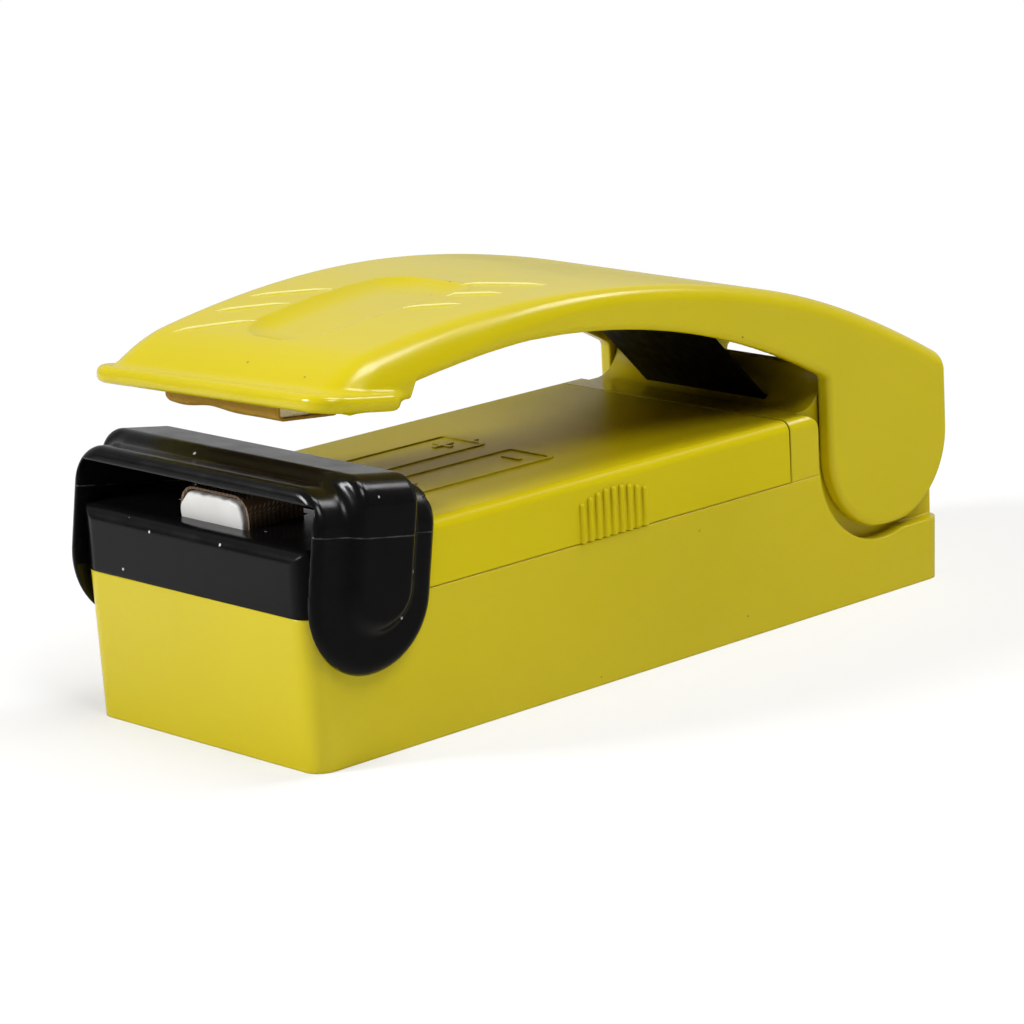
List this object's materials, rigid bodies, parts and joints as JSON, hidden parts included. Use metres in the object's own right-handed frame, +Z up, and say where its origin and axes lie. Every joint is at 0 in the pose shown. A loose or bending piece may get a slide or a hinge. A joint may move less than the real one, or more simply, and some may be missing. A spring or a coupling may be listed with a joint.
{
  "type": "hand-held bag sealer",
  "caption": "Battery-powered hand-held heat sealer for plastic bags, with a squeeze lever and a swing-up safety guard over its heater.",
  "frame": {"origin": "centre of the case's flat underside", "axes": "+X across the case, +Y from the jaw to the lever's pivot, +Z up"},
  "size_m": [0.0426, 0.0982, 0.0431],
  "materials": {
    "yellow_plastic": "satin moulded",
    "black_plastic": "glossy moulded",
    "silicone_foam": "matt",
    "glass_cloth": "woven, coated",
    "blued_steel": "satin, dark",
    "white_block": "satin",
    "spring_steel": "bright",
    "brass": "bright",
    "cell_jacket": "satin",
    "red_insulation": "satin",
    "black_insulation": "satin"
  },
  "bodies": {
    "base": {"lower_case": "yellow_plastic", "rear_housing": "yellow_plastic", "heater_holder": "black_plastic", "leaf_spring": "blued_steel", "heater_spring": "spring_steel", "switch_contact": "brass", "cell_left": "cell_jacket", "cell_right": "cell_jacket", "plus_contact": "brass", "minus_contact": "brass", "rear_bridge": "brass", "lead_red": "red_insulation", "lead_black": "black_insulation", "case_screws": "spring_steel"},
    "lever": {"lever_arm": "yellow_plastic", "jaw_pad": "silicone_foam", "jaw_cloth": "glass_cloth"},
    "guard": {"safety_guard": "black_plastic"},
    "cover": {"battery_cover": "yellow_plastic"},
    "heater": {"heater_block": "white_block", "heater_cloth": "glass_cloth", "heater_wire": "spring_steel", "wire_crimps": "brass", "switch_blade": "brass"}
  },
  "joints": [
    {"name": "lever_press", "type": "hinge", "parent": "base", "child": "lever", "pos_m": [0, 0.03935, 0.0178], "axis": [1, 0, 0], "range_deg": [0, 5.5], "stiffness_Nm_per_rad": 4, "springref_deg": -1.72, "deforming": ["leaf_spring"]},
    {"name": "guard_swing", "type": "hinge", "parent": "base", "child": "guard", "pos_m": [0, -0.0408, 0.01765], "axis": [1, 0, 0], "range_deg": [0, 110]},
    {"name": "cover_slide", "type": "slide", "parent": "base", "child": "cover", "axis": [0, -1, 0], "range_m": [0, 0.0026]},
    {"name": "heater_press", "type": "slide", "parent": "base", "child": "heater", "axis": [0, 0, -1], "range_m": [0, 0.00075], "stiffness_N_per_m": 1000, "springref_m": -0.0005, "deforming": ["heater_spring"]}
  ],
  "couplings": [
    {"joint": "guard_swing", "follows": "lever_press", "ratio": 20}
  ]
}
